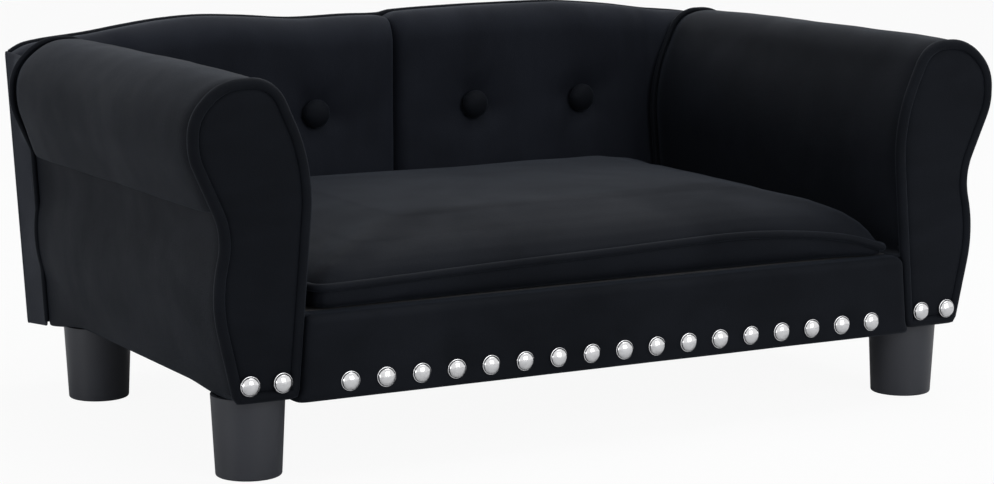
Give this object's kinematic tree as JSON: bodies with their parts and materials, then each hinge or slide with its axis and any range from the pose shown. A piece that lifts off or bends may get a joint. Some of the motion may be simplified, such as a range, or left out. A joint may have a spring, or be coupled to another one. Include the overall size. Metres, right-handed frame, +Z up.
{
  "type": "dog bed",
  "caption": "Small scroll-arm pet sofa in black velvet: crowned buttoned back, loose piped seat cushion, nail-trimmed front rail and short round feet.",
  "frame": {"origin": "centre of the footprint, on the floor under the feet", "axes": "+Z up, front faces -Y, +X runs along the width to the right arm as seen from the front"},
  "size_m": [0.7006, 0.426, 0.3015],
  "materials": {
    "velvet": "short soft pile",
    "foam": "open cell",
    "lining": "thin non-woven",
    "twine": "waxed",
    "zip": "moulded coil",
    "board": "raw pressed board",
    "timber": "raw sawn softwood",
    "nails": "polished",
    "bolts": "zinc plated",
    "feet": "satin moulded"
  },
  "bodies": {
    "sofa": {"arm_cover_left": "velvet", "arm_cover_right": "velvet", "arm_facing_left": "velvet", "arm_facing_right": "velvet", "arm_foam_left": "foam", "arm_foam_right": "foam", "arm_front_board_left": "board", "arm_front_board_right": "board", "arm_front_welt_left": "velvet", "arm_front_welt_right": "velvet", "arm_inner_board_left": "board", "arm_inner_board_right": "board", "arm_nails": "nails", "arm_outer_board_left": "board", "arm_outer_board_right": "board", "arm_rear_board_left": "board", "arm_rear_board_right": "board", "arm_rear_welt_left": "velvet", "arm_rear_welt_right": "velvet", "arm_side_panel_left": "velvet", "arm_side_panel_right": "velvet", "arm_top_rail_left": "timber", "arm_top_rail_right": "timber", "back_board": "board", "back_buttons": "velvet", "back_end_strip_left": "velvet", "back_end_strip_right": "velvet", "back_foam_left": "foam", "back_foam_right": "foam", "back_outside_cover": "velvet", "back_panel_left": "velvet", "back_panel_right": "velvet", "back_post_left": "timber", "back_post_right": "timber", "back_timber": "timber", "back_top_welt": "velvet", "base_timber_left": "timber", "base_timber_right": "timber", "button_ties": "twine", "deck_batten": "timber", "deck_lining": "lining", "dust_cover": "lining", "foot_bolts": "bolts", "foot_inserts": "bolts", "foot_front_left": "feet", "foot_front_right": "feet", "foot_rear_left": "feet", "foot_rear_right": "feet", "rail_board": "board", "rail_cover": "velvet", "rail_nails": "nails", "rail_wadding": "foam", "seat_deck": "board"},
    "cushion": {"cushion_base_panel": "lining", "cushion_core": "foam", "cushion_cover": "velvet", "cushion_welt": "velvet", "cushion_zip": "zip"}
  },
  "joints": [
    {"name": "cushion_lift", "type": "slide", "parent": "sofa", "child": "cushion", "axis": [0, 0, 1], "range_m": [0, 0.25]}
  ]
}
